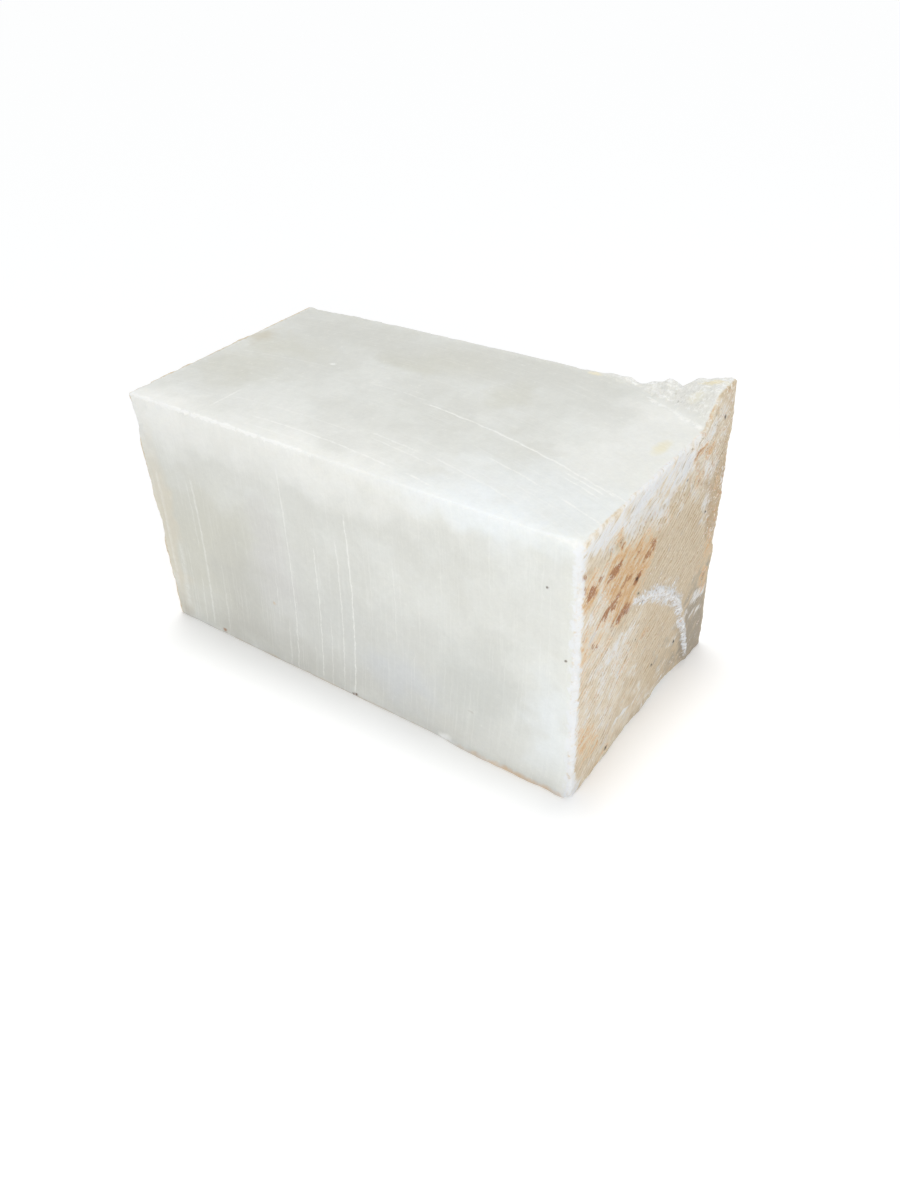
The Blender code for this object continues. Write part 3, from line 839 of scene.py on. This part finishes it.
# Scratches of the top: place across it, left and right ends, half width, strength
TOP_LINES = (
    (76, 146, 280, 1.05, 0.95), (72.6, 243, 275, 1, 1), (69, 246, 273, 0.85, 0.8),
    (55.2, 207, 250, 0.9, 0.65), (55.2, 254, 290, 1, 0.85), (35.3, 142, 180, 0.9, 0.65),
    (36.5, 184, 246, 0.9, 0.6), (31, 147, 192, 0.85, 0.55), (16.2, 78, 178, 1, 0.95),
    (17.2, 182, 204, 1.1, 0.9), (79, 104, 150, 0.8, 0.35), (77.2, 266, 290, 0.8, 0.7),
    (30, 50, 136, 0.8, 0.35), (8, 80, 130, 0.8, 0.45), (85, 10, 70, 0.8, 0.25),
    (62, 216, 262, 0.8, 0.25), (47, 232, 276, 0.8, 0.3),
)
SHORT_SCRATCH = (51.6, 10, 38, 1.0, 0.9)
# In mm: how far the front's lines lean to the left, from this height down to the bottom, and the
# middle of the top's bowed lines and how flat their bow is
DROOP_TOP, DROOP = 100.0, 6.8
BOW_MIDDLE, BOW_WIDTH = 105.0, 860.0
# The lip's crease on the top as two straight lines: slope, and y where it meets the left end, in mm
LIP_LINES = ((0.3, 214.4), (0.488, 258.6))
# Reach of the noise that pushes the clouds about, in mm
SWIRL = 34.0
# Constants of the stone's shader
STONE = {
    "IOR": 1.52,
    "Specular IOR Level": 0.4,
    "Subsurface Weight": 0.6,
    "Subsurface Radius": (1.0, 0.95, 0.85),
    "Subsurface Scale": 0.01,
}


def clouded(tree, colour, place, table):
    """Lays each oval of a table over the colour."""
    group = bpy.data.node_groups.get("Cloud of colour") or tint_group()
    for middle, size, tint, strength in table:
        colour = tree.group(group, colour, place, middle, size, tint, strength)
    return colour


def stone_colour(tree, place, lip):
    """Colour of the sawn faces: milky, clouded with olive and grey, with a paler broken lip. Some clouds
    are painted shade and painted glow, and the lip has painted shade in its cracks.
    """
    swirl = tree.vector("SUBTRACT", tree.noise(place, 0.05, 2.0, output="Color"), (0.5, 0.5, 0.5))
    pushed = tree.vector("ADD", place, tree.vector("MULTIPLY", swirl, (SWIRL, SWIRL, SWIRL)))
    broad = tree.mapped(tree.noise(pushed, 0.03, 3.0), 0.3, 0.7)
    colour = tree.mix(tree.times(broad, 0.6), MILK, HAZE)
    colour = clouded(tree, colour, pushed, CLOUDS)
    colour = tree.layered(
        colour,
        (IVORY, lip, 0.2, 1.2, 0.75, dict(lump=0.35, chip=0.2)),
        # Painted shade in the lip's cracks and notches, where its noises are low
        (LIP_CRACK_SHADE, lip, 1.25, 1.8, 0.5, dict(lump=-0.4, chip=-0.6)),
    )
    wobble = tree.point(*[tree.noises[name] for name in ("lump", "chip", "blotch")])
    colour = clouded(tree, colour, tree.vector("ADD", place, wobble), SPOTS)
    colour = tree.layered(colour, (FRESH, lip, 0.95, 1.55, 0.9, dict(lump=0.35, chip=0.65)))
    speckle = tree.plus(tree.noises["chip"], tree.noises["lump"])
    return tree.shaded(colour, tree.mapped(speckle, -1.6, 1.6, 0.962, 1.034, smooth=False))


def saw_marks(tree, place):
    """White lines: near upright arcs on the front face, long arcs of a wide blade on the top."""
    x, y, z = tree.axes(place)
    wobble = tree.times(tree.noises["blotch"], 0.5)
    drop = tree.math("DIVIDE", tree.most(tree.minus(DROOP_TOP, z), 0.0), DROOP_TOP)
    droop = tree.times(tree.math("POWER", drop, 2.0), DROOP)
    front_across = tree.plus(x, droop, wobble)
    bow = tree.math("DIVIDE", tree.math("POWER", tree.minus(x, BOW_MIDDLE), 2.0), BOW_WIDTH)
    top_across = tree.plus(y, bow, wobble)
    on_front = tree.mapped(y, 3.0, 1.2)
    on_back = tree.mapped(y, 149.2, 150.2)
    on_top = tree.mapped(z, 149.5, 151.0)
    patchy = tree.plus(tree.noises["lump"], tree.noises["chip"])
    patchy = tree.mapped(patchy, -1.0, 0.4, 0.4, 1.0)
    group = line_group()

    def lines(table, across, along):
        return tree.most(*[tree.group(group, across, along, *line) for line in table])

    def hairs(scale, where, strength, *spot):
        found = tree.mapped(tree.noise(tree.point(*spot), scale, 3.0, 0.6), 0.5, 0.78)
        return tree.times(found, where, strength)

    front = tree.times(lines(FRONT_LINES, front_across, z), on_front)
    top = tree.times(lines(TOP_LINES, top_across, x), on_top)
    short = tree.times(lines((SHORT_SCRATCH,), x, y), on_top)
    upright = hairs(0.9, tree.plus(on_front, on_back), 0.3, front_across, y, tree.times(z, 0.02))
    brushed = hairs(0.7, on_top, 0.2, tree.times(x, 0.03), top_across, 7.0)
    return tree.plus(tree.times(tree.most(front, top, short), patchy), tree.plus(upright, brushed))


def add_noises(tree, place):
    """Noises from -1 to 1, of several sizes, and drawn out along the saw grooves of the ends."""

    def add(name, spot, scale, detail, roughness):
        found = tree.noise(spot, scale, detail, roughness)
        tree.noises[name] = tree.mapped(found, 0.28, 0.72, -1.0, 1.0, smooth=False)

    add("chip", place, 0.72, 3.0, 0.7)
    add("lump", place, 0.28, 2.0, 0.6)
    add("blotch", place, 0.13, 2.0, 0.6)
    _, y, z = tree.axes(place)
    rise = tree.times(z, math.sin(GROOVE_SLOPE))
    along = tree.plus(tree.times(y, math.cos(GROOVE_SLOPE)), rise)
    for name, shorter, scale, layer in (("coarse", 0.1, 0.36, 0.0), ("fine", 0.2, 0.8, 21.0)):
        spot = tree.point(tree.times(along, shorter), tree.attribute("across"), layer)
        add(name, spot, scale, 3.0, 0.65)
    tree.noises["heaps"] = tree.attribute("crumb_height")


def stripes(tree, pitch):
    """1 in the bottom of each saw groove, less where a groove fades."""
    place = tree.roughened(tree.attribute("across"), lump=0.22 * pitch)
    wave = tree.math("COSINE", tree.times(place, 2 * math.pi / pitch))
    faded = tree.mapped(tree.noises["coarse"], -1.0, 0.8, 0.35, 1.0)
    return tree.times(tree.mapped(wave, -0.4, 1.0), faded)


def flecked(tree, colour, crumbly):
    """White and dark flecks, more of them where the surface crumbles, and streaks of painted shade and
    light along the grooves, as if from their relief.
    """
    flecks = tree.roughened(tree.times(tree.noises["chip"], 0.5), fine=0.5)
    lighter = tree.math("MULTIPLY_ADD", crumbly, 0.24, flecks)
    darker = tree.minus(tree.times(crumbly, 0.3), flecks)
    colour = tree.layered(
        colour,
        (FRESH, lighter, 0.38, 0.74, 0.75, {}),
        (UMBER, darker, 0.56, 0.95, 0.45, {}),
    )
    # Painted shade and light in streaks along the grooves, as if from their relief, with a random grain
    painted_relief_shade = tree.roughened(tree.times(tree.noises["coarse"], 0.3), fine=0.55, chip=0.45)
    return tree.shaded(colour, tree.mapped(painted_relief_shade, -1.2, 1.2, 0.85, 1.1, smooth=False))


def grooved_skin(tree, base, contrast):
    """A rough sawn surface: darker in the grooves, paler on the ridges, and where its ridges are. The dark
    grooves and pale ridges are partly the stone's tan and cream streaks, partly painted shade and painted
    light of the groove relief.
    """
    groove = tree.attribute("groove")
    deep = stripes(tree, GROOVE_PITCH / MM)
    cut = tree.times(deep, groove)
    fine_cut = tree.times(stripes(tree, FINE_PITCH / MM), groove)
    ridge = tree.times(tree.minus(1.0, deep), groove)
    colour = tree.layered(
        base,
        (CREAM, ridge, 0.05, 0.8, 0.7 * contrast, dict(coarse=0.45, fine=0.45)),
        (DEEP_TAN, cut, 0.0, 0.65, 0.95 * contrast, dict(coarse=0.35, fine=0.45)),
        (DEEP_TAN, fine_cut, 0.1, 0.85, 0.45 * contrast, dict(fine=0.4)),
    )
    return colour, ridge


def left_colour(tree):
    """Colour of the rough end that faces away."""
    blotch = tree.noises["blotch"]
    colour = tree.layered(TAN, (CREAM, blotch, -1.3, 1.3, 0.85, dict(coarse=0.45, lump=0.3)))
    colour, _ = grooved_skin(tree, colour, 0.75)
    colour = tree.layered(
        colour,
        (APRICOT, blotch, 0.2, 1.7, 0.6, dict(coarse=0.5, fine=0.4)),
        (CHALK_WHITE, blotch, 0.3, 1.7, 0.85, dict(blotch=-2.0, coarse=0.5, fine=0.5)),
    )
    return flecked(tree, colour, 0.2)


def right_colour(tree):
    """Colour of the rough end in view: tan skin cut by grooves, chalk, weathering, rust and crumbs."""
    colour = tree.layered(TAN, (CREAM, "pale", 0.1, 0.9, 1.0, dict(coarse=0.35, blotch=0.35)))
    colour, ridge = grooved_skin(tree, colour, 1.0)
    # The groove ridges' share of chalk white is more painted light on their crests; the pale patches'
    # share is the stone's own colour
    white = tree.math("MULTIPLY_ADD", tree.attribute("pale"), 0.75, tree.times(ridge, 0.45))
    streaky = dict(coarse=0.4, fine=0.5, chip=0.3)
    ragged = dict(fine=0.5, chip=0.45, coarse=0.25)
    grains = dict(heaps=0.25, chip=0.35, fine=0.3, blotch=0.3)
    colour = tree.layered(
        colour,
        (APRICOT, "pale", 1.05, 1.7, 0.75, dict(fine=0.7, coarse=-0.3, lump=0.25)),
        (CHALK_WHITE, white, 0.65, 1.3, 0.88, dict(coarse=0.45, fine=0.45, blotch=0.3)),
        (DEEP_TAN, "behind", 0.4, 1.2, 0.85, dict(fine=0.5, blotch=0.4)),
        (BROWN, "behind", 1.0, 1.8, 0.6, dict(fine=0.4, chip=0.5, lump=0.5)),
        # Ash grey low at the back of the end: grey stone and painted shade
        (ASH, "grey", 0.1, 1.0, 0.8, dict(coarse=0.35, blotch=0.35)),
        (CHALK_WHITE, "chalk", 0.35, 0.95, 0.85, dict(coarse=0.4, fine=0.35, blotch=0.25)),
        (BLUISH, "chalk", 0.7, 1.3, 0.7, dict(coarse=0.4, chip=0.2)),
        # Painted shade of the grooves that run through the chalk, where the streak noises are low
        (CHALK_GROOVE_SHADE, "chalk", 1.1, 1.75, 0.6, dict(coarse=-0.5, fine=-0.6)),
        (APRICOT, "rust", 0.42, 1.0, 0.95, streaky),
        (ORANGE, "rust", 0.7, 1.3, 0.88, streaky),
        (BROWN, "rust", 1.25, 1.9, 0.75, streaky),
        (CREAM, "rust", 1.02, 1.6, 0.55, dict(coarse=-0.55, fine=-0.55, lump=0.3)),
        (BROWN, "dark_spots", 0.3, 0.85, 0.94, ragged),
        (UMBER, "dark_spots", 1.05, 1.8, 0.65, ragged),
        (BLUISH, "crumbs", 0.35, 1.0, 0.85, grains),
        (FRESH, "crumbs", 0.95, 1.7, 0.8, grains),
        (TAUPE, "crumbs", 0.8, 1.5, 0.6, dict(heaps=-0.3, chip=-0.6)),
        (ORANGE, "crumbs", 1.35, 1.85, 0.75, dict(coarse=0.6, chip=-0.35, lump=0.3)),
        (ORANGE, "crumbly", 1.05, 1.75, 0.6, dict(lump=0.6, chip=0.35, fine=0.45)),
        (BROWN, "crumbly", 1.35, 2.0, 0.6, dict(lump=0.45, chip=0.6, fine=0.45)),
    )
    colour = flecked(tree, colour, tree.attribute("crumbly"))
    return tree.mix(tree.attribute("pits"), colour, SOOT)


def near_edges(tree, *places):
    """Distance to the nearest edge of the block: the second least of those to its three pairs of faces."""
    gaps = []
    for value, size in zip(places, (LENGTH, DEPTH, HEIGHT)):
        gaps.append(tree.least(value, tree.minus(size / MM, value)))
    first, second, third = gaps
    return tree.most(tree.least(first, second), tree.least(tree.most(first, second), third))


def lip_masks(tree, x, y, z):
    """The rough surface above the crease of the broken lip, and the crease itself."""
    early, late = [
        tree.minus(tree.math("MULTIPLY_ADD", x, slope, y), reach) for slope, reach in LIP_LINES
    ]
    on_top = tree.mapped(z, 150.0, 151.3)
    lip = tree.times(tree.mapped(tree.most(early, late), 0.5, 6.0), on_top)
    lip = tree.times(lip, tree.mapped(x, 198.0, 208.0))
    crease = tree.mapped(tree.math("ABSOLUTE", tree.roughened(late, lump=0.8)), 3.4, 0.0)
    crease = tree.times(crease, tree.mapped(x, 236.0, 246.0), on_top)
    return lip, crease


def edge_colour(tree, colour, x, y, z):
    """Bruised and chipped edges, and the crumbling edge between the front and the right end."""
    near = tree.mapped(near_edges(tree, x, y, z), 8.0, 3.0)
    broken = tree.times(tree.attribute("broken"), near)
    inward = tree.most(y, tree.minus(LENGTH / MM, x))
    strip = tree.mapped(tree.roughened(inward, lump=2.4), 6.0, 0.8)
    bruise = tree.most(y, tree.minus(HEIGHT / MM, z))
    bruise = tree.mapped(tree.roughened(bruise, lump=1.6), 2.4, 0.4)
    bruise = tree.times(bruise, tree.mapped(x, 175.0, 90.0, 0.15, 1.0))
    return tree.layered(
        colour,
        (SNOW, broken, 0.4, 1.2, 0.58, dict(chip=0.45, lump=0.15)),
        (ICE, strip, 0.15, 1.0, 0.86, dict(chip=0.25)),
        (FRESH, bruise, 0.35, 0.85, 0.85, dict(chip=0.3)),
    )


def new_material(name, constants):
    """A material, and its shader with these constants on its own sockets."""
    material = bpy.data.materials.new(name)
    material.use_nodes = True
    shader = material.node_tree.nodes["Principled BSDF"]
    for socket, value in constants.items():
        shader.inputs[socket].default_value = value
    return material, shader


def alabaster(shift):
    material, shader = new_material("alabaster", STONE)
    tree = Tree(material.node_tree)
    place = tree.vector("ADD", tree.node("TexCoord").outputs["Object"], tuple(shift))
    place = tree.node("VectorMath", {0: place, "Scale": 1 / MM}, operation="SCALE").outputs[0]
    x, y, z = tree.axes(place)
    add_noises(tree, place)

    lip, crease = lip_masks(tree, x, y, z)
    colour = stone_colour(tree, place, lip)
    colour = tree.mix(tree.times(saw_marks(tree, place), 0.8), colour, FRESH)
    colour = tree.layered(colour, (FRESH, crease, 0.45, 1.25, 0.75, dict(chip=0.45, lump=0.45)))

    skew = tree.times(y, RIGHT_SKEW / DEPTH)
    ragged = tree.roughened(tree.times(tree.noises["chip"], 0.4), lump=0.5)
    right = tree.mapped(tree.plus(tree.minus(x, LENGTH / MM, skew), ragged), -2.6, -1.4)
    left = tree.mapped(tree.plus(x, ragged), 1.9, 0.9)
    colour = tree.mix(right, colour, right_colour(tree))
    colour = tree.mix(left, colour, left_colour(tree))
    colour = edge_colour(tree, colour, x, y, z)

    rough_ends = tree.most(right, left, tree.times(lip, 0.8))
    gloss = tree.mapped(tree.noises["chip"], -1.0, 1.0, 0.47, 0.57, smooth=False)
    relief = tree.noise(place, 0.9, 4.0, 0.75)
    height = tree.times(relief, tree.mapped(rough_ends, 0.0, 1.0, 0.6, 4.5))
    bump = tree.node("Bump", {"Height": height, "Strength": 0.4, "Distance": 0.0003})

    tree.put(shader.inputs["Base Color"], colour)
    tree.put(shader.inputs["Roughness"], tree.math("MULTIPLY_ADD", rough_ends, 0.25, gloss))
    tree.put(shader.inputs["Normal"], bump.outputs["Normal"])
    return material


def build_block():
    points, quads = box_surface()
    points, broken = shape(points)
    low, high = points.min(axis=0), points.max(axis=0)
    shift = np.array([(low[0] + high[0]) / 2, (low[1] + high[1]) / 2, low[2]])
    mesh = bpy.data.meshes.new("dense")
    mesh.from_pydata((points - shift).tolist(), [], quads.tolist())
    paint(mesh, "broken", broken)
    piece = thinned(mesh, TRIANGLES)
    bpy.data.meshes.remove(mesh)
    paint_ends(piece.data, shift)
    map_sides(piece.data)
    piece.data.shade_smooth()
    piece.data.materials.clear()
    piece.data.materials.append(alabaster(shift))
    return piece, Vector(shift)


def make_floor():
    mesh = bpy.data.meshes.new("floor")
    form = bmesh.new()
    bmesh.ops.create_circle(form, cap_ends=True, segments=64, radius=FLOOR_RADIUS)
    form.to_mesh(mesh)
    form.free()
    mesh.materials.append(new_material("pale_floor", FLOOR)[0])
    floor = link(bpy.data.objects.new("floor", mesh))


def turned(angles):
    return Euler([math.radians(angle) for angle in angles])


def make_light(name, kind, turn, place=(0.0, 0.0, 0.0), **settings):
    lamp = bpy.data.lights.new(name, kind)
    for setting, value in settings.items():
        setattr(lamp, setting, value)
    light = link(bpy.data.objects.new(name, lamp))
    light.location = place
    light.rotation_euler = turn


def make_lights():
    """Even light from all around, a soft box at the front right, and a broad light from overhead."""
    world = bpy.data.worlds.new("studio")
    world.use_nodes = True
    backdrop = world.node_tree.nodes["Background"]
    backdrop.inputs["Color"].default_value = WORLD_COLOUR
    backdrop.inputs["Strength"].default_value = WORLD_STRENGTH
    bpy.context.scene.world = world
    aim = (Vector(SOFTBOX_TARGET) - Vector(SOFTBOX_PLACE)).to_track_quat("-Z", "Y").to_euler()
    make_light("softbox", "AREA", aim, SOFTBOX_PLACE, **SOFTBOX)
    make_light("back_light", "SUN", turned(SUN_TURN), **SUN)


def make_camera(shift):
    lens = bpy.data.cameras.new("camera")
    lens.lens = CAMERA_LENS
    lens.sensor_width = 36.0
    lens.clip_start = 0.01
    camera = link(bpy.data.objects.new("camera", lens))
    camera.location = Vector(CAMERA_PLACE) - shift
    camera.rotation_euler = turned(CAMERA_TURN)
    bpy.context.scene.camera = camera


block, block_shift = build_block()
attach(block, "root")
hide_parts("alabaster_block")
make_floor()
make_lights()
make_camera(block_shift)
bpy.context.scene.view_settings.view_transform = "Standard"
